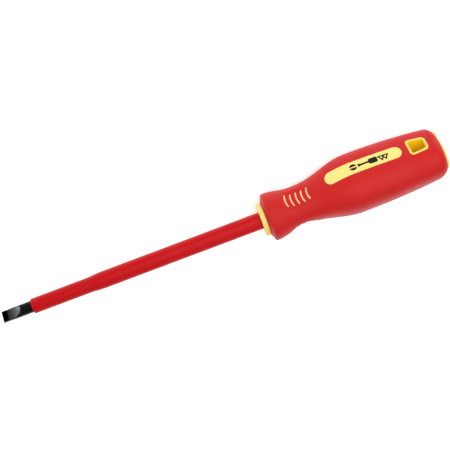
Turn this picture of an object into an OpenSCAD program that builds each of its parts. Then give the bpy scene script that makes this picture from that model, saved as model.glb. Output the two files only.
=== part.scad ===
// Insulated slotted screwdriver with a three-lobed, two-material handle.
// Every module is drawn standing: the tip's edge at the origin, the tool's axis up Z, and one
// ridge of the handle towards X. tool_frame() then lays the tool down on one handle face, with
// the origin at the middle of the tip's edge and +X pointing out of the tip.

/* [Blade] */
// Diameter of the steel bar, which is also the width of the ground tip
blade_d = 6.5; // [5.5:0.5:6.5]
// Thickness of the tip's edge
tip_thick = 1.2; // [0.8:0.1:1.6]
// Length of the tip that is ground parallel
tip_parallel = 2.5; // [1:0.5:4]
// Radius of the wheel that ground the hollow flats
wheel_r = 15; // [10:1:18]
// Turn of the tip's flats from the label face, in degrees
tip_turn = 13; // [0:1:90]
// Reach of the blade in front of the collar
blade_reach = 150; // [125:5:200]
// Length of the tang inside the handle
tang_length = 65; // [55:1:75]

/* [Sleeve] */
// Length of bare steel in front of the insulating sleeve
bare_length = 17.3; // [14:0.1:18]
// Diameter of the thin front part of the sleeve
sleeve_front_d = 8.4; // [8:0.1:9]
// Diameter of the rest of the sleeve
sleeve_d = 9.4; // [9.1:0.1:10]

/* [Collar] */
// Diameter of the front collar
collar_d = 18.5; // [17:0.5:19]
// Thickness of the collar's visible disc
collar_thick = 2.6; // [2:0.1:2.6]

/* [Handle] */
// Length of the handle from the collar's front face to the end of the grip
handle_length = 104.2; // [100:0.2:112]
// Radius of the round guard
guard_r = 13.35; // [12.5:0.05:14]
// Mean radius of the neck
neck_r = 11.15; // [11:0.05:12]
// Mean radius of the belly
belly_r = 16.6; // [16:0.1:17.5]
// Mean radius towards the butt, before its edge is rounded
butt_r = 13.8; // [13.4:0.1:14.5]
// Height of the three lobes, as a share of the mean radius
lobe_share = 0.09; // [0.04:0.01:0.1]

/* [Thumb windows] */
// Distance between the thumb ribs
rib_pitch = 3.1; // [3:0.05:3.4]
// Width of a rib
rib_width = 0.9; // [0.8:0.1:1.4]
// Depth of the oval dish that the ribs stand in
dish_depth = 0.8; // [0.4:0.1:1]
// Turn of the ribs and their dish from the middle of a face, in degrees
pad_turn = 10; // [0:1:15]

/* [Label plate] */
// Length of the label plate
plate_length = 43.6; // [36:0.2:45]
// Width of the label plate at its front and rear ends
plate_widths = [8.4, 8.0]; // [7:0.1:9]

/* [Hanging eye] */
// Outer length of the eye along the handle
eye_length = 10.8; // [10:0.1:12]
// Outer width of the eye at its front and rear ends
eye_widths = [11.4, 8.8]; // [8:0.1:12]
// Thickness of the eye's wall
eye_wall = 1.3; // [1:0.1:2]

/* [Hidden] */
$fn = 64;

// Angles round the axis of the three faces. The label and the eye are on the last one, and the
// tool lies on the second.
FACES = [60, 180, 300];
LABEL_FACE = FACES[2];

// Stations along the handle, measured from the collar's front face
front_h = 2.8;             // front of the guard
nose_r = 9.5;              // radius of the guard's front face, inside its chamfer
nose_slope = 2.57;         // growth of the radius along the chamfer
nose_blend = 1.0;          // softness of the edge between the chamfer and the guard
guard_h = 5.8;             // widest point of the guard
neck_h = [20.3, 23.5];     // start and end of the straight neck
belly_h = 55;              // widest point of the belly
butt_h = handle_length - 4.8;
ribs_h = 21.6;             // middle rib
plate_h = 60.9;            // middle of the label plate
eye_h = 91.7;              // axis of the hanging eye
spigot_h = 6.5;            // end of the collar's spigot, where the core starts
plug_h = handle_length - 3.6;
butt_round = 0.31;         // share of the radius lost to the rounding of the butt

RIBS = 5;
rib_arc_r = 11;            // bow of a rib
rib_arc = 40;              // angle that a rib spans, in degrees
rib_rise = 0.35;           // height of a rib above the floor of its dish
dish_half = [8.5, 33];     // half length in mm, and half width in degrees
dish_edge = 0.35;          // share of the dish taken by its sloping edge
pad_outer_r = 8.9;

plate_corner = 3.8;
eye_corner = 2.3;
eye_proud = 0.3;
core_depth = 3.8;          // mean thickness of the grip over the core
spigot_r = 8;
chamfer = 0.4;
cap_r = 11.2;
cap_share = 0.12;
cap_dome = 1.8;            // height of the cap's middle above the end of the grip
cap_dome_r = 51;
sleeve_steps = [49.2, 58.4];
sleeve_grip = 12;          // length of the sleeve inside the handle
wings = [[28, 0], [40, 90]];
wing_size = [9.6, 2.2, 9];

RING = 48;                 // points round a ring of the handle's form
STEPS = 34;                // rings between the guard and the butt
END_STEPS = 6;             // rings in each rounded end
CORNER_STEPS = 6;          // flats round each corner of the label plate and the eye

function clamp(u) = min(max(u, 0), 1);
function ease(u) = (1 - cos(180 * clamp(u))) / 2;
function rounding(u, share) = 1 - share * (1 - sqrt(1 - pow(clamp(u), 2)));
function soft_min(a, b, k) = min(a, b) - pow(max(k - abs(a - b), 0), 2) / (4 * k);

// Mean radius of the handle at station h: guard, neck, belly, taper and a rounded butt
function body_r(h) =
    (guard_r - (guard_r - neck_r) * ease((h - guard_h) / (neck_h[0] - guard_h))
     + (belly_r - neck_r) * ease((h - neck_h[1]) / (belly_h - neck_h[1]))
     - (belly_r - butt_r) * pow(clamp((h - belly_h) / (handle_length - belly_h)), 2))
    * rounding((h - butt_h) / (handle_length - butt_h), butt_round);

// The same with the chamfer at the front of the guard
function handle_r(h) = soft_min(body_r(h), nose_r + nose_slope * (h - front_h), nose_blend);

// Height of the lobes at station h: none at the round guard, full from the belly on
function lobes(h) = lobe_share * sin(90 * clamp((h - 5) / 45));

// Depth of the oval dish at station h and angle a
function dish_q(h, a) = norm([(h - ribs_h) / dish_half[0],
                              ((a - pad_turn + 360) % 120 - 60) / dish_half[1]]);
function dish(h, a) = dish_depth * ease((1 - dish_q(h, a)) / dish_edge);

function surface_r(h, a) = handle_r(h) * (1 + lobes(h) * cos(3 * a)) - dish(h, a);

stations = concat(
    [for (i = [0 : END_STEPS - 1]) front_h + (guard_h - front_h) * i / END_STEPS],
    [for (i = [0 : STEPS]) guard_h + (butt_h - guard_h) * i / STEPS],
    [for (i = [1 : END_STEPS]) butt_h + (handle_length - butt_h) * sin(90 * i / END_STEPS)]);

function ring(h, proud) = [for (i = [0 : RING - 1]) let (a = 360 * i / RING, r = surface_r(h, a) + proud)
                           [r * cos(a), r * sin(a), h]];

// The handle's outer form, larger all round by proud
module handle_form(proud = 0) {
    points = [for (h = stations) each ring(h, proud)];
    last = len(stations) - 1;
    sides = [for (k = [0 : last - 1], i = [0 : RING - 1], half = [0, 1])
             let (a = k * RING + i, b = k * RING + (i + 1) % RING)
             half == 0 ? [a, a + RING, b] : [b, a + RING, b + RING]];
    bottom = [[for (i = [0 : RING - 1]) i]];
    top = [[for (i = [RING - 1 : -1 : 0]) last * RING + i]];
    translate([0, 0, blade_reach]) polyhedron(points, concat(sides, bottom, top), convexity = 6);
}

// A section with rounded corners, widths[0] wide at its front end (+X) and widths[1] at its rear
module tapered_section(length, widths, corner) {
    tilt = atan((widths[0] - widths[1]) / 2 / length);
    turns = [0, 90 + tilt, 180];
    edge = [for (i = [0, 1], j = [0 : CORNER_STEPS])
            let (side = 1 - 2 * i, a = turns[i] + (turns[i + 1] - turns[i]) * j / CORNER_STEPS,
                 centre = [side * (length / 2 - corner),
                           widths[i] / 2 - corner * (side * tan(tilt) + 1 / cos(tilt))])
            centre + corner * [cos(a), sin(a)]];
    polygon(concat(edge, [for (i = [len(edge) - 1 : -1 : 0]) [edge[i].x, -edge[i].y]]));
}

// A bar of that section that runs out through the label face, along its normal
module face_bar(h, length, widths, corner, from, to) {
    rotate([0, 0, LABEL_FACE]) translate([from, 0, blade_reach + h]) rotate([0, 90, 0])
        linear_extrude(to - from) tapered_section(length, widths, corner);
}

module plate_bar() face_bar(plate_h, plate_length, plate_widths, plate_corner, 6, 22);

// The eye's outer form, or with wall its opening
module eye_bar(wall = 0) {
    inset = [2 * wall, 2 * wall];
    face_bar(eye_h, eye_length - 2 * wall, eye_widths - inset, eye_corner - wall, -22, 22);
}

// A body of revolution about the tool's axis, from [radius, station] pairs
module turned(outline) translate([0, 0, blade_reach]) rotate_extrude() polygon(outline);

module core_form() {
    stops = [for (i = [0 : 24]) spigot_h + (plug_h - spigot_h) * i / 24];
    turned(concat([[0, spigot_h]], [for (h = stops) [handle_r(h) - core_depth, h]], [[0, plug_h]]));
}

module cap_form() {
    outline = [for (i = [0 : RING - 1]) let (a = 360 * i / RING, r = cap_r * (1 + cap_share * cos(3 * a)))
               [r * cos(a), r * sin(a)]];
    translate([0, 0, blade_reach + plug_h]) linear_extrude(handle_length + 5 - plug_h) polygon(outline);
}

module blade_form() {
    rotate([0, 0, LABEL_FACE + tip_turn]) {
        difference() {
            cylinder(h = blade_reach + tang_length, d = blade_d);
            for (side = [0, 180]) rotate([0, 0, side]) {
                translate([tip_thick / 2, -blade_d, -1]) cube([blade_d, 2 * blade_d, tip_parallel + 1]);
                translate([tip_thick / 2 + wheel_r, 0, tip_parallel]) rotate([90, 0, 0])
                    cylinder(h = 2 * blade_d, r = wheel_r, center = true, $fn = 128);
            }
        }
        for (w = wings) rotate([0, 0, w[1]])
            translate([-wing_size.x / 2, -wing_size.y / 2, blade_reach + w[0]]) cube(wing_size);
    }
}

module sleeve_form(inner_r) {
    front_r = sleeve_front_d / 2;
    outer_r = sleeve_d / 2;
    rotate_extrude() polygon([
        [inner_r, bare_length], [front_r - 1.5 * chamfer, bare_length],
        [front_r, bare_length + 1.5 * chamfer], [front_r, sleeve_steps[0]], [outer_r, sleeve_steps[1]],
        [outer_r, blade_reach + sleeve_grip], [inner_r, blade_reach + sleeve_grip]]);
}

// Steel bar with a hollow-ground slotted tip, and two pairs of pressed wings that stop it turning
module blade() color([0.13, 0.13, 0.14]) blade_form();

// Red insulating sleeve, moulded on the blade, with a thinner front end
module blade_sleeve() color([0.73, 0.11, 0.14]) sleeve_form(blade_d / 2);

// Yellow collar whose spigot closes the front of the handle round the sleeve
module front_collar() color([1, 0.86, 0.4]) {
    outer_r = collar_d / 2;
    turned([[sleeve_d / 2, 0], [outer_r - chamfer, 0], [outer_r, chamfer],
            [outer_r, collar_thick - chamfer], [outer_r - chamfer, collar_thick], [spigot_r, collar_thick],
            [spigot_r, spigot_h], [sleeve_d / 2, spigot_h]]);
}

// Hard core, moulded round the tang, that carries everything else in the handle
module handle_core() color([0.95, 0.78, 0.3]) difference() {
    core_form();
    blade_form();
    sleeve_form(0);
    eye_bar();
}

// Five bowed ribs that run out through a face, and the foot that joins them under the grip
module rib_bars(face) rotate([0, 0, face + pad_turn]) {
    foot = [RIBS * rib_pitch - 1.5, 8];
    intersection() {
        translate([0, 0, blade_reach + ribs_h - foot.x / 2]) cylinder(h = foot.x, r = pad_outer_r);
        translate([5, -foot.y / 2, blade_reach + ribs_h - foot.x / 2]) cube([10, foot.y, foot.x]);
    }
    for (i = [0 : RIBS - 1])
        translate([5, 0, blade_reach + ribs_h + rib_arc_r + (i - (RIBS - 1) / 2) * rib_pitch])
            rotate([0, 90, 0]) rotate([0, 0, -rib_arc / 2]) rotate_extrude(angle = rib_arc)
                translate([rib_arc_r - rib_width / 2, 0]) square([rib_width, 10]);
}

// One group of yellow thumb ribs, which stands on the core and ends just above its dish
module thumb_pad(face) color([1, 0.8, 0.45]) difference() {
    intersection() {
        handle_form(rib_rise);
        rib_bars(face);
    }
    core_form();
}

// Soft red grip, moulded over the core, with windows for the yellow pieces
module grip() color([0.83, 0.14, 0.15]) difference() {
    handle_form();
    core_form();
    cap_form();
    plate_bar();
    eye_bar();
    translate([0, 0, blade_reach]) cylinder(h = spigot_h + 1, r = spigot_r);
    for (face = FACES) rib_bars(face);
}

// Yellow label plate, flush with the grip
module label_plate() color([1, 0.91, 0.55]) difference() {
    intersection() {
        handle_form();
        plate_bar();
    }
    core_form();
}

// Yellow tube through the handle, narrower towards the butt, with both rims a little proud
module hanging_eye() color([1, 0.84, 0.3]) difference() {
    intersection() {
        handle_form(eye_proud);
        eye_bar();
    }
    eye_bar(eye_wall);
}

// Yellow plug with a low dome that closes the butt
module end_cap() color([1, 0.86, 0.4]) intersection() {
    cap_form();
    translate([0, 0, blade_reach + handle_length + cap_dome - cap_dome_r]) sphere(r = cap_dome_r, $fn = 128);
}

module tool_frame() rotate([0, -90, 0]) children();

tool_frame() blade();
tool_frame() blade_sleeve();
tool_frame() front_collar();
tool_frame() handle_core();
tool_frame() grip();
tool_frame() thumb_pad(FACES[0]);  // thumb_pad_1
tool_frame() thumb_pad(FACES[1]);  // thumb_pad_2
tool_frame() thumb_pad(FACES[2]);  // thumb_pad_3
tool_frame() label_plate();
tool_frame() hanging_eye();
tool_frame() end_cap();
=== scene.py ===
# %% [markdown]
# # Dressing an insulated screwdriver
# The imported model fixes where every piece lies and how big it is. This script builds the surfaces
# that show: a soft red grip with its yellow inserts, a red sleeve and a blackened blade. It starts
# by loading the frame, because many sizes below are worked out from it.

# %% Load the frame
import math

import bmesh
import bpy
from mathutils import Matrix, Vector


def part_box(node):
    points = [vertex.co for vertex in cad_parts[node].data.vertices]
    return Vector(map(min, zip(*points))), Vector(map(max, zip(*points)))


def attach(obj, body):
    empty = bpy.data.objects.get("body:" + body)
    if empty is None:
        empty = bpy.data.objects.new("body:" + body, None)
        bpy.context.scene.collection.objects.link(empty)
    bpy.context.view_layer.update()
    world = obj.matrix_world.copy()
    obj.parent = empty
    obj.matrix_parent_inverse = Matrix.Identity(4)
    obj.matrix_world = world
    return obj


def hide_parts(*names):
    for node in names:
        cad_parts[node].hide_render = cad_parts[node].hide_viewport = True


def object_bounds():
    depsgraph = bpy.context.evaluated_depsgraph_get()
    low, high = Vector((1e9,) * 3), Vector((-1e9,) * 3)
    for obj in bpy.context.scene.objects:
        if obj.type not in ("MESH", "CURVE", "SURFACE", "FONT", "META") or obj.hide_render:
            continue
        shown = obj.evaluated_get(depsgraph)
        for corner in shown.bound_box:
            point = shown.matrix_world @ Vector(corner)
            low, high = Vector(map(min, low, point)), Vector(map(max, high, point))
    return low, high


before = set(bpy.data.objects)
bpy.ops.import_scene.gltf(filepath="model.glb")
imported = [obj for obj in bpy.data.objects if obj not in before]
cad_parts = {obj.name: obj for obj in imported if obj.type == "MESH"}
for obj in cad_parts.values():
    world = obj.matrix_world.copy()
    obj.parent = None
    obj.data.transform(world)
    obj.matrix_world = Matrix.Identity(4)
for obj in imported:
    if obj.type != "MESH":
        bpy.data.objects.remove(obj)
CAD_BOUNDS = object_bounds()
MM = 0.001
print("frame, mm:", [round(c / MM, 1) for corner in CAD_BOUNDS for c in corner])

# %% [markdown]
# ## Where things are
# The tool lies along X with its tip at the origin, so a place on it is a distance behind the tip.
# On the handle it is easier to count from the front of the yellow collar. Most stations can be read
# off the boxes of the CAD nodes, which is safer than typing them in again.

# %% Stations along the tool
def ends(node):
    """The low and high end of a node along the tool, in mm behind the tip."""
    low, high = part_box(node)
    return -high.x / MM, -low.x / MM


COLLAR = ends("front_collar")[0]
GRIP_FRONT = ends("grip")[0] - COLLAR
PLATE = [s - COLLAR for s in ends("label_plate")]
EYE = [s - COLLAR for s in ends("hanging_eye")]
CAP = [s - COLLAR for s in ends("end_cap")]
COLLAR_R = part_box("front_collar")[1].y / MM
SLEEVE_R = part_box("blade_sleeve")[1].y / MM
HANDLE_LENGTH = 104.2
FACES = (60, 180, -60)
LABEL_FACE = FACES[2]
print("collar front", round(COLLAR, 2), "plate", PLATE, "eye", EYE, "cap", CAP)

# %% [markdown]
# ## The form of the handle
# A moulded handle like this is one smooth surface: a round guard, a thin neck, a swelling belly and
# a taper to the butt, with three soft lobes that grow from nothing at the guard. It could be
# sculpted, but a formula gives every insert the same surface to sit in, so that they come out flush.

# %% The skin as a formula
GUARD_H, NECK_H, BELLY_H, BUTT_H = 5.8, (20.3, 23.5), 55, HANDLE_LENGTH - 4.8
GUARD_R, NECK_R, BELLY_R, BUTT_R = 13.35, 11.15, 16.6, 13.8
NOSE_R, NOSE_SLOPE, NOSE_BLEND = 9.5, 2.57, 1.0
BUTT_ROUND, LOBE_SHARE, LOBES_FROM, LOBES_OVER = 0.31, 0.09, 5, 45
RIBS_H, PAD_TURN = 21.6, 10
DISH_DEPTH, DISH_LENGTH, DISH_DEGREES, DISH_EDGE = 1.0, 8.5, 33, 0.27


def clamp(u):
    return min(max(u, 0), 1)


def ease(u):
    return (1 - math.cos(math.pi * clamp(u))) / 2


def rounding(u, share):
    return 1 - share * (1 - math.sqrt(1 - clamp(u) ** 2))


def soft_min(a, b, k):
    return min(a, b) - max(k - abs(a - b), 0) ** 2 / (4 * k)


def mean_radius(h):
    """Mean radius of the handle, h mm behind the front of the collar."""
    r = GUARD_R - (GUARD_R - NECK_R) * ease((h - GUARD_H) / (NECK_H[0] - GUARD_H))
    r += (BELLY_R - NECK_R) * ease((h - NECK_H[1]) / (BELLY_H - NECK_H[1]))
    r -= (BELLY_R - BUTT_R) * clamp((h - BELLY_H) / (HANDLE_LENGTH - BELLY_H)) ** 2
    r *= rounding((h - BUTT_H) / (HANDLE_LENGTH - BUTT_H), BUTT_ROUND)
    return soft_min(r, NOSE_R + NOSE_SLOPE * (h - GRIP_FRONT), NOSE_BLEND)


def lobes(h):
    """How far the ridges stand out there, as a share of the mean radius."""
    return LOBE_SHARE * math.sin(math.pi / 2 * clamp((h - LOBES_FROM) / LOBES_OVER))


def dish(h, degrees):
    """Depth of the oval dish round the thumb ribs."""
    off_face = (degrees - PAD_TURN) % 120 - 60
    q = math.hypot((h - RIBS_H) / DISH_LENGTH, off_face / DISH_DEGREES)
    return DISH_DEPTH * ease((1 - q) / DISH_EDGE)


def skin_radius(h, degrees):
    return mean_radius(h) * (1 + lobes(h) * math.cos(math.radians(3 * degrees))) - dish(h, degrees)


print("belly radius on a ridge and on a face:", skin_radius(BELLY_H, 0), skin_radius(BELLY_H, 60))

# %% [markdown]
# ## Working on a face
# The label, the ribs and the eye are drawn flat, as distance along the handle and across its face,
# and then pressed on to the curved skin along the face's normal. This is how a pad printer or a
# mould half meets the part, so outlines keep their shape when one looks straight at the face.

# %% Press flat shapes on to the skin
def face_axes(face):
    """Outward normal and sideways direction of the face at that angle round the tool."""
    a = math.radians(face)
    return Vector((0, math.sin(a), math.cos(a))), Vector((0, math.cos(a), -math.sin(a)))


def on_skin(h, across, lift, face):
    """The point above (h, across) on that face, lifted off the skin by lift, in metres."""
    depth = mean_radius(h)
    for _ in range(12):
        side = math.degrees(math.atan2(across, depth))
        depth = math.sqrt(max(skin_radius(h, face + side) ** 2 - across ** 2, 1))
    out, sideways = face_axes(face)
    place = out * (depth + lift) + sideways * across
    return Vector((-(COLLAR + h) * MM, place.y * MM, place.z * MM))


def press(bm, face):
    """Moves a flat mesh of (along, across, lift) in mm on to the skin."""
    for v in bm.verts:
        v.co = on_skin(v.co.x, v.co.y, v.co.z, face)


print("label face, mid plate:", on_skin(sum(PLATE) / 2, 0, 0, LABEL_FACE))

# %% [markdown]
# ## Small tools
# Most pieces of a screwdriver are turned or cut, so three helpers do most of the work: one spins an
# outline round the tool's axis, one cuts a piece with another, and one turns a mesh into a piece
# with smooth faces and crisp edges.

# %% Helpers that turn, cut and finish
def turned(outline, steps=96, closed=False):
    """Spins (h, radius) pairs, in mm, once round the tool's axis. Closed outlines make rings."""
    bm = bmesh.new()
    verts = [bm.verts.new((-(COLLAR + h) * MM, 0, r * MM)) for h, r in outline]
    pairs = list(zip(verts, verts[1:] + (verts[:1] if closed else [])))
    for a, b in pairs:
        bm.edges.new((a, b))
    bmesh.ops.spin(bm, geom=bm.verts[:] + bm.edges[:], cent=(0, 0, 0), axis=(1, 0, 0),
                   angle=2 * math.pi, steps=steps, use_merge=True)
    bmesh.ops.remove_doubles(bm, verts=bm.verts, dist=1e-7)
    bmesh.ops.recalc_face_normals(bm, faces=bm.faces)
    return bm


def make_object(name, bm):
    mesh = bpy.data.meshes.new(name)
    bm.to_mesh(mesh)
    bm.free()
    thing = bpy.data.objects.new(name, mesh)
    bpy.context.scene.collection.objects.link(thing)
    return thing


def bake_modifiers(thing):
    """Makes the result of an object's modifiers its own mesh."""
    graph = bpy.context.evaluated_depsgraph_get()
    mesh = bpy.data.meshes.new_from_object(thing.evaluated_get(graph))
    thing.modifiers.clear()
    thing.data = mesh


def cut(thing, tool, operation="DIFFERENCE"):
    """Cuts thing with the closed mesh tool, which is used up."""
    boolean = thing.modifiers.new("cut", "BOOLEAN")
    boolean.operation = operation
    boolean.solver = "EXACT"
    boolean.object = tool
    bake_modifiers(thing)
    bpy.data.objects.remove(tool)


def tapered_square(bm, length, widths, corner, segments=8):
    """Adds a flat rounded outline, widths[0] wide at its front end and widths[1] at its rear."""
    square = bmesh.ops.create_grid(bm, x_segments=1, y_segments=1, size=0.5)["verts"]
    for v in square:
        v.co.y *= widths[0] if v.co.x < 0 else widths[1]
        v.co.x *= length
    bmesh.ops.bevel(bm, geom=square, offset=corner, affect="VERTICES", segments=segments, profile=0.5,
                    material=-1)


def stretch_up(bm, height):
    """Extrudes all the flat faces upwards."""
    made = bmesh.ops.extrude_face_region(bm, geom=bm.faces[:])["geom"]
    bmesh.ops.translate(bm, vec=(0, 0, height), verts=[g for g in made if isinstance(g, bmesh.types.BMVert)])
    bmesh.ops.recalc_face_normals(bm, faces=bm.faces)


def rounded_bar(length, widths, corner, low, high, segments=8):
    """A bar with a rounded section, from low to high above the XY plane, in mm."""
    bm = bmesh.new()
    tapered_square(bm, length, widths, corner, segments)
    bmesh.ops.translate(bm, vec=(0, 0, low), verts=bm.verts)
    stretch_up(bm, high - low)
    return bm


def stand_on_face(bm, h, face):
    """Places a mesh drawn as (along, across, height from the axis) in mm at station h of a face."""
    out, sideways = face_axes(face)
    along = Vector((-1, 0, 0))
    turn = Matrix((along, sideways, out)).transposed().to_4x4()
    move = Matrix.Translation((-(COLLAR + h) * MM, 0, 0))
    bmesh.ops.transform(bm, matrix=move @ turn @ Matrix.Diagonal((MM, MM, MM, 1)), verts=bm.verts)
    bmesh.ops.recalc_face_normals(bm, faces=bm.faces)
    return bm


def grid_cuts(bm, step, axis):
    """Cuts a flat mesh into strips of about that width, so that it can follow a curve."""
    low = min(v.co[axis] for v in bm.verts)
    high = max(v.co[axis] for v in bm.verts)
    count = max(1, round((high - low) / step))
    normal = Vector((0, 0, 0))
    normal[axis] = 1
    for i in range(1, count):
        place = normal * (low + (high - low) * i / count)
        bmesh.ops.bisect_plane(bm, geom=bm.verts[:] + bm.edges[:] + bm.faces[:], dist=1e-6,
                               plane_co=place, plane_no=normal)


def finish_piece(thing, node_names, crisp=32):
    """Smooth faces, crisp edges above an angle, and the frame's bookkeeping."""
    bm = bmesh.new()
    bm.from_mesh(thing.data)
    bmesh.ops.remove_doubles(bm, verts=bm.verts, dist=2e-6)
    bmesh.ops.dissolve_degenerate(bm, edges=bm.edges, dist=1e-6)
    for face in bm.faces:
        face.smooth = True
    for edge in bm.edges:
        edge.smooth = len(edge.link_faces) == 2 and edge.calc_face_angle(0) < math.radians(crisp)
    bm.to_mesh(thing.data)
    open_edges = sum(len(e.link_faces) != 2 for e in bm.edges)
    triangles = sum(len(f.verts) - 2 for f in bm.faces)
    bm.free()
    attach(thing, "root")
    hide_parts(*node_names)
    print(thing.name, "triangles", triangles, "open edges", open_edges)
    return thing


# %% [markdown]
# ## The grip
# The grip is soft plastic shot over the core, so it is a skin with windows in it. One could model
# the skin's two sides and bridge them at every window. Turning a solid blank, shaping its lobes and
# cutting the hollow and the windows out of it is shorter, and leaves the walls of every window
# exactly where the inserts meet them.

# %% Turn the blank and shape its lobes
END_RINGS, RING_PITCH, ROUND = 12, 0.6, 192


def blank_stations():
    """Stations that crowd together at the guard's chamfer and where the butt is rounded."""
    front = [GRIP_FRONT + (GUARD_H - GRIP_FRONT) * i / END_RINGS for i in range(END_RINGS)]
    count = round((BUTT_H - GUARD_H) / RING_PITCH)
    middle = [GUARD_H + (BUTT_H - GUARD_H) * i / count for i in range(count + 1)]
    rear = [BUTT_H + (HANDLE_LENGTH - BUTT_H) * math.sin(math.pi / 2 * i / END_RINGS)
            for i in range(1, END_RINGS + 1)]
    return front + middle + rear


def handle_blank():
    """The whole handle as one solid, with its lobes and its three thumb dishes."""
    stations = blank_stations()
    outline = [(stations[0], 0)] + [(h, mean_radius(h)) for h in stations] + [(stations[-1], 0)]
    bm = turned(outline, steps=ROUND)
    for v in bm.verts:
        h = -v.co.x / MM - COLLAR
        radius = math.hypot(v.co.y, v.co.z)
        if radius > MM:
            wanted = skin_radius(h, math.degrees(math.atan2(v.co.y, v.co.z))) * MM
            v.co.y *= wanted / radius
            v.co.z *= wanted / radius
    return bm


grip = make_object("grip_skin", handle_blank())
print("blank faces:", len(grip.data.polygons))

# %% [markdown]
# The hollow is a turned shape: a bore for the collar's spigot and a wider room for the core. The
# windows are bars with rounded corners that stand on the label face. The butt is opened with the
# outline of the end cap, a circle with the same three lobes as the handle.

# %% Cut the hollow and the windows
SPIGOT_R, SPIGOT_H = 8, 6.5
PLUG_H = CAP[0]
CORE_DEPTH, CAP_R, CAP_SHARE = 3.8, 11.2, 0.12
PLATE_LENGTH, PLATE_WIDTHS, PLATE_CORNER = PLATE[1] - PLATE[0], (8.4, 8.0), 3.8
EYE_LENGTH, EYE_WIDTHS, EYE_WALL, EYE_CORNER = EYE[1] - EYE[0], (11.4, 8.8), 1.3, 2.3
FIT = 0.04
PLATE_MID, EYE_MID = sum(PLATE) / 2, sum(EYE) / 2


def hollow():
    """Room for the collar's spigot and, behind it, for the core."""
    steps = 40
    core = [SPIGOT_H + (PLUG_H - SPIGOT_H) * i / steps for i in range(steps + 1)]
    outline = [(1, 0), (1, SPIGOT_R + FIT), (SPIGOT_H, SPIGOT_R + FIT)]
    outline += [(h, mean_radius(h) - CORE_DEPTH) for h in core] + [(PLUG_H, 0)]
    return turned(outline)


def lobed_plug(low, high, radius, grow):
    """A plug with the cap's three-lobed outline, from station low to station high."""
    bm = turned([(low, 0), (low, radius), (high, radius), (high, 0)])
    add_lobes(bm, grow)
    return bm


def add_lobes(bm, grow=0.0):
    """Gives a turned cap its lobes and makes it larger all round by grow, in mm."""
    for v in bm.verts:
        radius = math.hypot(v.co.y, v.co.z)
        if radius > 1e-6:
            swell = 1 + CAP_SHARE * math.cos(3 * math.atan2(v.co.y, v.co.z)) + grow * MM / radius
            v.co.y *= swell
            v.co.z *= swell


cut(grip, make_object("hollow", hollow()))
cut(grip, make_object("butt_window", lobed_plug(PLUG_H - 0.5, HANDLE_LENGTH + 6, CAP_R, FIT)))
plate_tool = rounded_bar(PLATE_LENGTH + 2 * FIT, [w + 2 * FIT for w in PLATE_WIDTHS], PLATE_CORNER, 6, 22)
cut(grip, make_object("plate_window", stand_on_face(plate_tool, PLATE_MID, LABEL_FACE)))
eye_tool = rounded_bar(EYE_LENGTH - EYE_WALL, [w - EYE_WALL for w in EYE_WIDTHS], EYE_CORNER, -22, 22)
cut(grip, make_object("eye_window", stand_on_face(eye_tool, EYE_MID, LABEL_FACE)))
finish_piece(grip, ["grip"])

# %% [markdown]
# ## The label plate
# The plate is a thin insert, flush with the skin, with a softly rounded edge that catches a line of
# light. It starts as a flat rounded bar, is cut into strips both ways so that it can bend, and is
# then pressed on to the label face.

# %% Bend the plate on to the face
PLATE_THICK, PLATE_PROUD, PLATE_EDGE = 1.8, 0.05, 0.22


def plate_blank():
    """The plate drawn flat, with a rounded rim, in strips small enough to bend."""
    bm = rounded_bar(PLATE_LENGTH, PLATE_WIDTHS, PLATE_CORNER, -PLATE_THICK, PLATE_PROUD, segments=12)
    rim = [e for e in bm.edges if all(v.co.z > 0 for v in e.verts)]
    bmesh.ops.bevel(bm, geom=rim, offset=PLATE_EDGE, affect="EDGES", segments=3, profile=0.5, material=-1)
    grid_cuts(bm, 1.2, 0)
    grid_cuts(bm, 0.7, 1)
    bmesh.ops.translate(bm, vec=(PLATE_MID, 0, 0), verts=bm.verts)
    return bm


plate_mesh = plate_blank()
press(plate_mesh, LABEL_FACE)
bmesh.ops.recalc_face_normals(plate_mesh, faces=plate_mesh.faces)
finish_piece(make_object("label_plate_yellow", plate_mesh), ["label_plate"])

# %% [markdown]
# ## The hanging eye
# The eye is a four-sided tube with rounded corners, narrower towards the butt, and its two rims stand
# a little proud of the grip. It is drawn as a flat ring, extruded from one mouth to the other, and
# each mouth is then fitted to the skin on its own side of the handle.

# %% Ring, tube and rims
EYE_PROUD, EYE_EDGE = 0.3, 0.45


def eye_ring():
    """Two rounded outlines, one in the other, bridged into a flat ring."""
    bm = bmesh.new()
    for wall in (0, EYE_WALL):
        tapered_square(bm, EYE_LENGTH - 2 * wall, [w - 2 * wall for w in EYE_WIDTHS], EYE_CORNER - wall)
    bmesh.ops.delete(bm, geom=bm.faces[:], context="FACES_ONLY")
    straight = [e for e in bm.edges if e.calc_length() > EYE_CORNER]
    bmesh.ops.subdivide_edges(bm, edges=straight, cuts=7)
    bmesh.ops.bridge_loops(bm, edges=bm.edges[:])
    return bm


def eye_tube():
    """The ring drawn out from one side of the handle to the other, with soft lips."""
    bm = eye_ring()
    front = bm.verts[:]
    made = bmesh.ops.extrude_face_region(bm, geom=bm.faces[:])["geom"]
    back = [g for g in made if isinstance(g, bmesh.types.BMVert)]
    opposite = LABEL_FACE + 180
    for v in front:
        v.co = on_skin(EYE_MID + v.co.x, v.co.y, EYE_PROUD, LABEL_FACE)
    for v in back:
        v.co = on_skin(EYE_MID + v.co.x, -v.co.y, EYE_PROUD, opposite)
    bmesh.ops.recalc_face_normals(bm, faces=bm.faces)
    lips = [e for e in bm.edges if e.calc_face_angle(0) > math.radians(40) and e.calc_length() < 4 * MM]
    bmesh.ops.bevel(bm, geom=lips, offset=EYE_EDGE * MM, affect="EDGES", segments=4, profile=0.5, material=-1,
                    clamp_overlap=True)
    return bm


finish_piece(make_object("hanging_eye_tube", eye_tube()), ["hanging_eye"])

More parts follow.
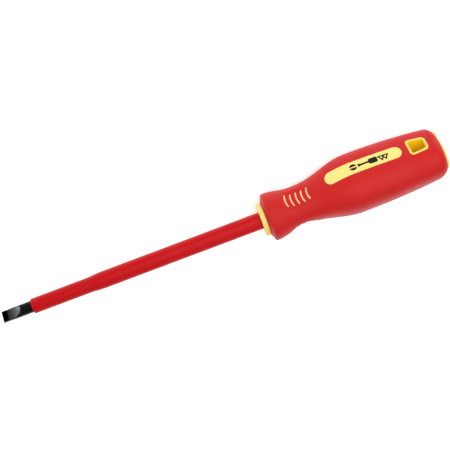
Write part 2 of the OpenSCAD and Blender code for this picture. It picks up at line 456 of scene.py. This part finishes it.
# %% [markdown]
# ## The thumb ribs
# Each face has five yellow ribs, bowed towards the tip, that stand in a shallow dish. A rib is a
# small section spun through part of a circle. Its edges are beveled round, and pressing the whole
# group on to the skin lets it follow the floor of the dish.

# %% Spin and press the ribs
RIBS, RIB_PITCH, RIB_WIDTH, RIB_RISE, RIB_ARC_R, RIB_ARC = 5, 3.1, 0.9, 0.36, 11, 40
RIB_ROOT, RIB_ROUND, RIB_STEPS = 1.1, 0.28, 22


def rib(bm, h):
    """Adds one bowed bar with its middle at station h."""
    made = bmesh.ops.create_grid(bm, x_segments=1, y_segments=1, size=0.5)["verts"]
    bmesh.ops.scale(bm, vec=(RIB_WIDTH, RIB_RISE + RIB_ROOT, 1), verts=made)
    bmesh.ops.rotate(bm, cent=(0, 0, 0), matrix=Matrix.Rotation(math.radians(90), 3, "X"), verts=made)
    bmesh.ops.translate(bm, vec=(-RIB_ARC_R, 0, (RIB_RISE - RIB_ROOT) / 2), verts=made)
    start = math.radians(-RIB_ARC / 2)
    bmesh.ops.rotate(bm, cent=(0, 0, 0), matrix=Matrix.Rotation(start, 3, "Z"), verts=made)
    section = list({f for v in made for f in v.link_faces})
    bmesh.ops.spin(bm, geom=section, cent=(0, 0, 0), axis=(0, 0, 1), angle=math.radians(RIB_ARC),
                   steps=RIB_STEPS, use_merge=False)
    reach, seen = set(made), list(made)
    while seen:
        for e in seen.pop().link_edges:
            for v in e.verts:
                if v not in reach:
                    reach.add(v)
                    seen.append(v)
    bmesh.ops.translate(bm, vec=(h + RIB_ARC_R, 0, 0), verts=list(reach))


def rib_group(face):
    """Five ribs with rounded tops, pressed on to one face."""
    bm = bmesh.new()
    for i in range(RIBS):
        rib(bm, RIBS_H + (i - (RIBS - 1) / 2) * RIB_PITCH)
    bmesh.ops.recalc_face_normals(bm, faces=bm.faces)
    crisp = [e for e in bm.edges
             if e.calc_face_angle(0) > math.radians(50) and max(v.co.z for v in e.verts) > 0]
    bmesh.ops.bevel(bm, geom=crisp, offset=RIB_ROUND, affect="EDGES", segments=4, profile=0.5, material=-1)
    press(bm, face)
    bmesh.ops.recalc_face_normals(bm, faces=bm.faces)
    return bm


for number, face in enumerate(FACES, 1):
    ribs = make_object(f"thumb_ribs_{number}", rib_group(face + PAD_TURN))
    finish_piece(ribs, [f"thumb_pad_{number}"])

# %% [markdown]
# ## Collar and end cap
# The collar is a turned disc with softened edges and a spigot that goes into the handle. The end cap
# is turned as well, with a low dome, and then takes on the handle's lobes.

# %% Turn the collar and the cap
COLLAR_THICK, SOFT = 2.6, 0.35


def arc(h, r, radius, start, stop, steps=5):
    """Points on a quarter round about (h, r); 0 degrees points to the butt and 90 away from the axis."""
    angles = [math.radians(start + (stop - start) * i / steps) for i in range(steps + 1)]
    return [(h + radius * math.cos(a), r + radius * math.sin(a)) for a in angles]


collar_outline = [(0, SLEEVE_R + FIT)]
collar_outline += arc(SOFT, COLLAR_R - SOFT, SOFT, 180, 90)
collar_outline += arc(COLLAR_THICK - SOFT, COLLAR_R - SOFT, SOFT, 90, 0)
collar_outline += [(COLLAR_THICK, SPIGOT_R), (SPIGOT_H, SPIGOT_R), (SPIGOT_H, SLEEVE_R + FIT)]
collar = make_object("collar_disc", turned(collar_outline, steps=128, closed=True))
finish_piece(collar, ["front_collar"])

CAP_DOME_R, CAP_EDGE = 51, 0.5
dome_top = CAP[1]


def dome(r):
    """Station of the cap's dome at radius r."""
    return dome_top - CAP_DOME_R + math.sqrt(CAP_DOME_R ** 2 - r ** 2)


rim_h = dome(CAP_R - CAP_EDGE)
cap_outline = [(PLUG_H, 0), (PLUG_H, CAP_R)] + arc(rim_h - CAP_EDGE, CAP_R - CAP_EDGE, CAP_EDGE, 90, 0)
cap_outline += [(dome(r), r) for r in (9.2, 8, 6.5, 5, 3.5, 2, 1)] + [(dome_top, 0)]
cap_mesh = turned(cap_outline, steps=128)
add_lobes(cap_mesh)
finish_piece(make_object("butt_cap", cap_mesh), ["end_cap"])

# %% [markdown]
# ## The sleeve
# The insulating sleeve is a plain tube with two diameters and a rounded front lip. Its surface is
# what matters, so the form is a closed outline spun once, and the material adds the drawn look.

# %% Turn the sleeve
BLADE_R = 3.25
SLEEVE = [s - COLLAR for s in ends("blade_sleeve")]
SLEEVE_FRONT_R, LIP, LIP_DROP = 4.2, 0.45, 0.5
STEP_FRONT, STEP_REAR = 49.2 - COLLAR, 58.4 - COLLAR


def sleeve_outline():
    """Rounded lip, thin front, cone and thick rear, then back along the bore."""
    lip = [(SLEEVE[0] + LIP * (1 - math.cos(t)), SLEEVE_FRONT_R - LIP_DROP * (1 - math.sin(t)))
           for t in [math.pi / 2 * i / 6 for i in range(7)]]
    cone = [(STEP_FRONT + (STEP_REAR - STEP_FRONT) * i / 12,
             SLEEVE_FRONT_R + (SLEEVE_R - SLEEVE_FRONT_R) * ease(i / 12)) for i in range(13)]
    return [(SLEEVE[0], BLADE_R + FIT)] + lip + cone + [(SLEEVE[1], SLEEVE_R), (SLEEVE[1], BLADE_R + FIT)]


sleeve = make_object("red_sleeve", turned(sleeve_outline(), steps=96, closed=True))
finish_piece(sleeve, ["blade_sleeve"])

# %% [markdown]
# ## The blade
# A slotted tip is ground from a round bar between wheels, which leaves two hollow flats that run out
# in a curve. Cutting the bar with the wheel's own shape gives that run-out for nothing. The tang
# inside the handle has pressed wings, so that the handle cannot slip on it.

# %% Grind the tip
TIP_THICK, TIP_PARALLEL, WHEEL_R, TIP_TURN = 1.2, 2.5, 15, 13
TANG_END = ends("blade")[1] - COLLAR
TIP_H = -COLLAR
BLADE_SOFT, SOFTEN_ABOVE = 0.08, 25
WINGS, WING_SIZE = ((28, 0), (40, 90)), (9, 9.6, 2.2)


def grinding_wheel(side):
    """The space swept by one wheel, drawn as (along, across, height) from the tip's edge."""
    bm = bmesh.new()
    angles = [math.radians(4 * i) for i in range(18)]
    curve = [(TIP_PARALLEL + WHEEL_R * math.sin(a), TIP_THICK / 2 + WHEEL_R * (1 - math.cos(a)))
             for a in angles]
    line = [(-2, TIP_THICK / 2)] + curve + [(-2, curve[-1][1])]
    face = bm.faces.new([bm.verts.new((x, -6, z)) for x, z in line])
    made = bmesh.ops.extrude_face_region(bm, geom=[face])["geom"]
    bmesh.ops.translate(bm, vec=(0, 12, 0), verts=[g for g in made if isinstance(g, bmesh.types.BMVert)])
    bmesh.ops.recalc_face_normals(bm, faces=bm.faces)
    return stand_on_face(bm, TIP_H, LABEL_FACE + TIP_TURN + side)


def tang_wing(h, turn):
    """A pair of wings, as one bar across the tang."""
    bm = bmesh.new()
    bmesh.ops.create_cube(bm, size=1)
    bmesh.ops.scale(bm, vec=WING_SIZE, verts=bm.verts)
    bmesh.ops.bevel(bm, geom=bm.edges[:], offset=0.3, affect="EDGES", segments=2, profile=0.5, material=-1)
    return stand_on_face(bm, h + WING_SIZE[0] / 2, LABEL_FACE + TIP_TURN + turn + 90)


blade_outline = [(TIP_H, 0), (TIP_H, BLADE_R - 0.1), (TIP_H + 0.1, BLADE_R), (TANG_END - 1, BLADE_R)]
blade_outline += [(TANG_END, BLADE_R - 1), (TANG_END, 0)]
blade = make_object("blade_bar", turned(blade_outline, steps=96))
for side in (0, 180):
    cut(blade, make_object("wheel", grinding_wheel(side)))
for h, turn in WINGS:
    cut(blade, make_object("wing", tang_wing(h, turn)), "UNION")
softened = blade.modifiers.new("soft edges", "BEVEL")
softened.width = BLADE_SOFT * MM
softened.segments = 2
softened.limit_method = "ANGLE"
softened.angle_limit = math.radians(SOFTEN_ABOVE)
bake_modifiers(blade)
finish_piece(blade, ["blade"], crisp=28)

# %% [markdown]
# ## Printed mark
# A maker prints a word on the label plate. This one gets a plain pictogram: a slotted screw head, a
# screwdriver and two linked triangles. It is a film of ink, so it is a thin slab pressed on to the
# plate.

# %% Draw the pictogram
INK, INK_LOW = 0.03, -0.02
MARK_H = PLATE_MID + 3.1


def half_disc(bm, radius, slot, side):
    """One half of a slotted screw head."""
    made = bmesh.ops.create_circle(bm, cap_ends=True, segments=40, radius=radius)["verts"]
    faces = list({f for v in made for f in v.link_faces})
    edges = list({e for v in made for e in v.link_edges})
    bmesh.ops.bisect_plane(bm, geom=made + edges + faces, dist=1e-6, plane_co=(0, side * slot / 2, 0),
                           plane_no=(0, side, 0), clear_inner=True)


def triangle(bm, radius, line):
    """The outline of a triangle, as a band of that width."""
    made = bmesh.ops.create_circle(bm, cap_ends=True, segments=3, radius=radius)["verts"]
    face = list({f for v in made for f in v.link_faces})
    bmesh.ops.inset_region(bm, faces=face, thickness=line, use_boundary=True, use_even_offset=True)
    bmesh.ops.delete(bm, geom=face, context="FACES")


def shape(draw, h, across=0.0):
    """A flat shape moved to (h, across), as its own mesh."""
    bm = bmesh.new()
    draw(bm)
    bmesh.ops.translate(bm, vec=(h, across, 0), verts=bm.verts)
    return bm


def pictogram():
    """A slotted screw head, a screwdriver and two linked triangles."""
    parts = [shape(lambda bm: half_disc(bm, 2.1, 0.8, side), -8.6) for side in (1, -1)]
    parts.append(shape(lambda bm: tapered_square(bm, 1.7, (2.4, 1.1), 0.1, 2), -5.0))
    parts.append(shape(lambda bm: tapered_square(bm, 4.4, (1.2, 1.2), 0.1, 2), -2.1))
    parts.append(shape(lambda bm: tapered_square(bm, 5.0, (3.4, 3.9), 1.0, 6), 2.6))
    parts += [shape(lambda bm: triangle(bm, 2.6, 0.8), h) for h in (7.4, 9.6)]
    whole = bmesh.new()
    for part in parts:
        grid_cuts(part, 0.8, 0)
        bmesh.ops.translate(part, vec=(MARK_H, 0, PLATE_PROUD + INK_LOW), verts=part.verts)
        stretch_up(part, INK - INK_LOW)
        mesh = bpy.data.meshes.new("ink")
        part.to_mesh(mesh)
        part.free()
        whole.from_mesh(mesh)
        bpy.data.meshes.remove(mesh)
    press(whole, LABEL_FACE)
    bmesh.ops.recalc_face_normals(whole, faces=whole.faces)
    return whole


mark = make_object("label_mark", pictogram())
finish_piece(mark, [])

# %% [markdown]
# ## Finishes
# The grain of the mould, the paler line along worn edges and the fine drawn lines turn up on
# more than one material, so each is a node group that every material can place with its own values.

# %% Node groups
def add(tree, kind, **values):
    """Adds a node and sets its properties, and its inputs where the name is a socket."""
    node = tree.nodes.new(kind)
    for name, value in values.items():
        if hasattr(node, name):
            setattr(node, name, value)
        else:
            node.inputs[name.replace("_", " ")].default_value = value
    return node


def new_group(name, inputs, outputs):
    """An empty node group with float inputs {name: default} and float outputs."""
    tree = bpy.data.node_groups.new(name, "ShaderNodeTree")
    for label, value in inputs.items():
        socket = tree.interface.new_socket(label, in_out="INPUT", socket_type="NodeSocketFloat")
        socket.default_value = value
    for label in outputs:
        tree.interface.new_socket(label, in_out="OUTPUT", socket_type="NodeSocketFloat")
    return tree, tree.nodes.new("NodeGroupInput"), tree.nodes.new("NodeGroupOutput")


def mould_grain():
    """The fine eroded texture of a mould, as a height, and a slow drift for colour and gloss."""
    tree, given, result = new_group("mould grain", {"Grain": 3200.0, "Drift": 55.0}, ["Height", "Cloud"])
    place = add(tree, "ShaderNodeTexCoord")
    grain = add(tree, "ShaderNodeTexNoise", Detail=3.0, Roughness=0.6)
    cells = add(tree, "ShaderNodeTexVoronoi", feature="SMOOTH_F1", Smoothness=0.6)
    cloud = add(tree, "ShaderNodeTexNoise", Detail=4.0, Roughness=0.55)
    join = add(tree, "ShaderNodeMath", operation="ADD")
    link = tree.links.new
    for node, scale in ((grain, "Grain"), (cells, "Grain"), (cloud, "Drift")):
        link(place.outputs["Object"], node.inputs["Vector"])
        link(given.outputs[scale], node.inputs["Scale"])
    link(grain.outputs[0], join.inputs[0])
    link(cells.outputs["Distance"], join.inputs[1])
    link(join.outputs[0], result.inputs["Height"])
    link(cloud.outputs[0], result.inputs["Cloud"])
    return tree


def edge_wear():
    """A mask that is one on outer edges: where a rounded normal turns away from the true one."""
    tree, given, result = new_group("edge wear", {"Radius": 0.0004, "Break up": 900.0}, ["Mask"])
    place = add(tree, "ShaderNodeTexCoord")
    true_normal = add(tree, "ShaderNodeNewGeometry")
    rounded = add(tree, "ShaderNodeBevel", samples=6)
    likeness = add(tree, "ShaderNodeVectorMath", operation="DOT_PRODUCT")
    spread = add(tree, "ShaderNodeMapRange", From_Min=0.98, From_Max=0.80)
    noise = add(tree, "ShaderNodeTexNoise", Detail=5.0)
    chips = add(tree, "ShaderNodeMapRange", From_Min=0.35, From_Max=0.62)
    mask = add(tree, "ShaderNodeMath", operation="MULTIPLY")
    link = tree.links.new
    link(given.outputs["Radius"], rounded.inputs["Radius"])
    link(rounded.outputs[0], likeness.inputs[0])
    link(true_normal.outputs["Normal"], likeness.inputs[1])
    link(likeness.outputs["Value"], spread.inputs["Value"])
    link(place.outputs["Object"], noise.inputs["Vector"])
    link(given.outputs["Break up"], noise.inputs["Scale"])
    link(noise.outputs[0], chips.inputs["Value"])
    link(spread.outputs[0], mask.inputs[0])
    link(chips.outputs[0], mask.inputs[1])
    link(mask.outputs[0], result.inputs["Mask"])
    return tree


def drawn_lines():
    """Fine lines that run along the tool, from extrusion, drawing or grinding."""
    tree, given, result = new_group("drawn lines", {"Fineness": 2600.0, "Stretch": 0.03}, ["Height"])
    place = add(tree, "ShaderNodeTexCoord")
    squeeze = add(tree, "ShaderNodeCombineXYZ", Y=1.0, Z=1.0)
    stretched = add(tree, "ShaderNodeVectorMath", operation="MULTIPLY")
    noise = add(tree, "ShaderNodeTexNoise", Detail=4.0, Roughness=0.65)
    link = tree.links.new
    link(given.outputs["Stretch"], squeeze.inputs["X"])
    link(place.outputs["Object"], stretched.inputs[0])
    link(squeeze.outputs[0], stretched.inputs[1])
    link(stretched.outputs[0], noise.inputs["Vector"])
    link(given.outputs["Fineness"], noise.inputs["Scale"])
    link(noise.outputs[0], result.inputs["Height"])
    return tree


GRAIN, WEAR, LINES = mould_grain(), edge_wear(), drawn_lines()
print("groups:", [g.name for g in bpy.data.node_groups])

# %% [markdown]
# Every material is one Principled BSDF. The clouds shift its colour a little and its gloss a little
# more, worn edges are paler, and the grain or the drawn lines drive a bump. Only the numbers change
# from the rubbery grip to the hard yellow trim and the blackened steel. The tip's flats are the one
# exception: they are bare metal, and a ramp along X takes the place of the two colours as a painted
# reflection, pale at the run-out and darkening to near black at the tip's edge.

# %% A moulded or ground material
def place_group(tree, group, **values):
    """Places a node group and sets its inputs."""
    node = tree.nodes.new("ShaderNodeGroup")
    node.node_tree = group
    for name, value in values.items():
        node.inputs[name.replace("_", " ")].default_value = value
    return node


def blend_colour(tree, factor, first, second):
    """Mixes two colours, or a node's colour and a colour, by a factor socket."""
    mix = add(tree, "ShaderNodeMix", data_type="RGBA")
    tree.links.new(factor, mix.inputs[0])
    for value, socket in ((first, mix.inputs[6]), (second, mix.inputs[7])):
        if isinstance(value, tuple):
            socket.default_value = (*value, 1)
        else:
            tree.links.new(value, socket)
    return mix.outputs[2]


def along_tool(tree, bands):
    """A grey that follows (place along X in mm, grey) pairs."""
    place = add(tree, "ShaderNodeTexCoord")
    split = add(tree, "ShaderNodeSeparateXYZ")
    tree.links.new(place.outputs["Object"], split.inputs[0])
    first, last = bands[0][0], bands[-1][0]
    share = add(tree, "ShaderNodeMapRange", From_Min=first * MM, From_Max=last * MM)
    tree.links.new(split.outputs["X"], share.inputs["Value"])
    ramp = add(tree, "ShaderNodeValToRGB")
    stops = ramp.color_ramp.elements
    stops[0].color, stops[1].color = ((grey, grey, grey, 1) for grey in (bands[0][1], bands[-1][1]))
    for x, grey in bands[1:-1]:
        stops.new((x - first) / (last - first)).color = (grey, grey, grey, 1)
    tree.links.new(share.outputs[0], ramp.inputs["Fac"])
    return ramp.outputs["Color"]


def finish_material(name, colour, deep, worn, gloss, grain, bump, metal=0.0, specular=0.5, lines=None,
                    drift=55.0, wear_radius=0.0004, bands=None):
    """gloss is the (low, high) roughness, bump the height of the grain in metres, and bands a list of
    (place along X in mm, grey) that takes the place of colour and deep."""
    material = bpy.data.materials.new(name)
    material.use_nodes = True
    tree = material.node_tree
    link = tree.links.new
    shader = tree.nodes["Principled BSDF"]
    shader.inputs["Metallic"].default_value = metal
    shader.inputs["Specular IOR Level"].default_value = specular
    skin = place_group(tree, GRAIN, Grain=grain, Drift=drift)
    edges = place_group(tree, WEAR, Radius=wear_radius)
    cloudy = add(tree, "ShaderNodeMapRange", From_Min=0.3, From_Max=0.7)
    link(skin.outputs["Cloud"], cloudy.inputs["Value"])
    body = along_tool(tree, bands) if bands else blend_colour(tree, cloudy.outputs[0], colour, deep)
    link(blend_colour(tree, edges.outputs["Mask"], body, worn), shader.inputs["Base Color"])
    shine = add(tree, "ShaderNodeMapRange", To_Min=gloss[0], To_Max=gloss[1])
    link(cloudy.outputs[0], shine.inputs["Value"])
    link(shine.outputs[0], shader.inputs["Roughness"])
    height = skin.outputs["Height"]
    if lines:
        drawn = place_group(tree, LINES, Fineness=lines)
        total = add(tree, "ShaderNodeMath", operation="ADD")
        link(drawn.outputs[0], total.inputs[0])
        link(height, total.inputs[1])
        height = total.outputs[0]
    relief = add(tree, "ShaderNodeBump", Strength=1.0, Distance=bump)
    link(height, relief.inputs["Height"])
    link(relief.outputs[0], shader.inputs["Normal"])
    return material


def paint(material, *things):
    """Gives each thing that one material."""
    for thing in things:
        thing.data.materials.clear()
        thing.data.materials.append(material)


def piece(name):
    return bpy.data.objects[name]


# %% The finishes
grip_red = finish_material("soft red grip", (0.60, 0.005, 0.004), (0.57, 0.004, 0.003), (0.64, 0.02, 0.02),
                           gloss=(0.46, 0.56), grain=3000, bump=0.00002, specular=0.3)
sleeve_red = finish_material("red sleeve", (0.57, 0.001, 0.004), (0.54, 0.001, 0.004), (0.60, 0.01, 0.015),
                             gloss=(0.36, 0.46), grain=2400, bump=0.00001, specular=0.16, lines=1500)
trim_yellow = finish_material("yellow trim", (0.97, 0.73, 0.20), (0.96, 0.70, 0.18), (0.98, 0.80, 0.36),
                              gloss=(0.32, 0.42), grain=2200, bump=0.00001, specular=0.35)
rib_yellow = finish_material("pale ribs", (0.98, 0.57, 0.30), (0.96, 0.54, 0.27), (0.98, 0.66, 0.38),
                             gloss=(0.36, 0.46), grain=2200, bump=0.00001, specular=0.3)
# The eye's inside: the trim yellow made deeper and darker, a painted shade.
eye_inside_painted_shade = finish_material("eye inside, painted shade", (0.98, 0.69, 0.008), (0.97, 0.66, 0.006), (0.98, 0.80, 0.42),
                             gloss=(0.36, 0.46), grain=2200, bump=0.00001, specular=0.12,
                             wear_radius=0.0008)
label_yellow = finish_material("yellow label", (0.93, 0.77, 0.23), (0.92, 0.75, 0.21), (0.95, 0.80, 0.32),
                               gloss=(0.34, 0.40), grain=2600, bump=0.000006, specular=0.3)
core_yellow = finish_material("core plastic", (0.80, 0.48, 0.06), (0.76, 0.44, 0.05), (0.85, 0.56, 0.15),
                              gloss=(0.40, 0.55), grain=1500, bump=0.00002)
ink_black = finish_material("black ink", (0.006, 0.005, 0.004), (0.010, 0.008, 0.006), (0.02, 0.018, 0.012),
                            gloss=(0.40, 0.5), grain=5000, bump=0.000004, specular=0.15)
black_oxide = finish_material("black oxide steel", (0.002, 0.002, 0.0025), (0.004, 0.004, 0.005),
                              (0.03, 0.03, 0.03), gloss=(0.20, 0.28), grain=2600, bump=0.000006,
                              specular=0.14, lines=2400)
# The grey bands along X are a painted reflection on the flats: pale at the run-out, near black at the tip's
# edge.
ground_steel_and_painted_reflection = finish_material("ground flats, painted reflection", None, None, (0.2, 0.2, 0.2), gloss=(0.30, 0.40), grain=3000,
                               bump=0.000006, metal=1.0, lines=5200,
                               bands=[(-11, 0.28), (-8.2, 0.19), (-4.9, 0.075), (-3.3, 0.05), (-2.9, 0.001),
                                      (0, 0.001)])

# %% [markdown]
# Two pieces have two finishes. The eye is one yellow plastic: its inside is painted a deeper, darker
# yellow as painted shade, and its rims, which face out along its axis, take the trim's own yellow. The tip's
# flats are ground bare where the wheel left them, and their grey ramp is a painted reflection. Faces are told
# apart by where they point and where they lie, so no face has to be picked by hand.

# %% Paint the pieces
RIM_FACING, FLAT_FACING = 0.6, 0.75
RUN_OUT, EDGE_X = -11.5, -0.1

paint(grip_red, piece("grip_skin"))
paint(sleeve_red, piece("red_sleeve"))
paint(trim_yellow, piece("collar_disc"), piece("butt_cap"))
paint(eye_inside_painted_shade, piece("hanging_eye_tube"))
paint(rib_yellow, *(piece(f"thumb_ribs_{n}") for n in (1, 2, 3)))
paint(label_yellow, piece("label_plate_yellow"))
paint(ink_black, piece("label_mark"))
paint(core_yellow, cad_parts["handle_core"])
paint(black_oxide, piece("blade_bar"))
piece("blade_bar").data.materials.append(ground_steel_and_painted_reflection)
eye_axis = face_axes(LABEL_FACE)[0]
# Only the rims take the trim yellow; the inside of the eye keeps its deeper yellow, painted shade.
piece("hanging_eye_tube").data.materials.append(trim_yellow)
for face in piece("hanging_eye_tube").data.polygons:
    if abs(face.normal.dot(eye_axis)) > RIM_FACING:
        face.material_index = 1
flat_normal = face_axes(LABEL_FACE + TIP_TURN)[0]
for face in piece("blade_bar").data.polygons:
    facing = abs(face.normal.dot(flat_normal)) > FLAT_FACING
    below_bar = abs(face.center.dot(flat_normal)) < (BLADE_R - 0.02) * MM
    if facing and below_bar and RUN_OUT * MM < face.center.x < EDGE_X * MM:
        face.material_index = 1
print("ground faces:", sum(f.material_index == 1 for f in piece("blade_bar").data.polygons))

# %% [markdown]
# ## Floor, light and camera
# The tool lies on one face of its handle on a plain pale floor. The floor gives off a little light,
# as a light table does, which keeps it white right up to the tool and puts a pale edge on the round
# pieces. A large soft light stands over the label face and a smaller one overhead. The camera is
# half a metre away, high above the label face, and rolled so that the tip points down to the left.

# %% Stage
FLOOR_SIZE, FLOOR_GLOW, SURROUNDINGS = 3.0, 0.47, 0.52
floor_mesh = bmesh.new()
bmesh.ops.create_grid(floor_mesh, x_segments=12, y_segments=12, size=FLOOR_SIZE)
bmesh.ops.translate(floor_mesh, vec=(-0.13, 0, CAD_BOUNDS[0].z), verts=floor_mesh.verts)
floor = make_object("floor", floor_mesh)
floor_paint = bpy.data.materials.new("pale floor")
floor_paint.use_nodes = True
floor_shader = floor_paint.node_tree.nodes["Principled BSDF"]
floor_shader.inputs["Base Color"].default_value = (0.93, 0.93, 0.93, 1)
floor_shader.inputs["Roughness"].default_value = 0.8
floor_shader.inputs["Emission Color"].default_value = (1, 1, 1, 1)
floor_shader.inputs["Emission Strength"].default_value = FLOOR_GLOW
paint(floor_paint, floor)

world = bpy.data.worlds.new("pale studio")
bpy.context.scene.world = world
world.use_nodes = True
world.node_tree.nodes["Background"].inputs["Color"].default_value = (1, 1, 1, 1)
world.node_tree.nodes["Background"].inputs["Strength"].default_value = SURROUNDINGS


def soft_light(name, place, aim, width, power):
    """A square area light, width metres wide, at place and facing aim."""
    data = bpy.data.lights.new(name, "AREA")
    data.shape = "SQUARE"
    data.size = width
    data.energy = power
    lamp = bpy.data.objects.new(name, data)
    lamp.location = place
    lamp.rotation_euler = (Vector(aim) - Vector(place)).to_track_quat("-Z", "Y").to_euler()
    bpy.context.scene.collection.objects.link(lamp)


soft_light("key", (-0.29, -0.30, 0.56), (-0.2, 0, 0), 0.6, 2.3)
soft_light("overhead", (-0.30, 0.22, 0.68), (-0.2, 0, 0), 0.35, 0.75)

# %% Camera
AIM_BEHIND_TIP, AIM_ASIDE, DISTANCE = 0.1308, 0.0046, 0.5445
ELEVATION, ROLL, LENS = math.radians(68), math.radians(159.39), 80
back = Vector((0, -math.cos(ELEVATION), math.sin(ELEVATION)))
level = Vector((1, 0, 0))
upright = back.cross(level)
right = level * math.cos(ROLL) + upright * math.sin(ROLL)
up = back.cross(right)
camera = bpy.data.objects.new("camera", bpy.data.cameras.new("camera"))
camera.data.lens = LENS
camera.data.sensor_width = 36
place = Vector((-AIM_BEHIND_TIP, 0, 0)) - upright * AIM_ASIDE + back * DISTANCE
camera.matrix_world = Matrix.Translation(place) @ Matrix((right, up, back)).transposed().to_4x4()
bpy.context.scene.collection.objects.link(camera)
bpy.context.scene.camera = camera
bpy.context.scene.view_settings.view_transform = "Standard"
print("camera at", [round(c, 3) for c in camera.location])
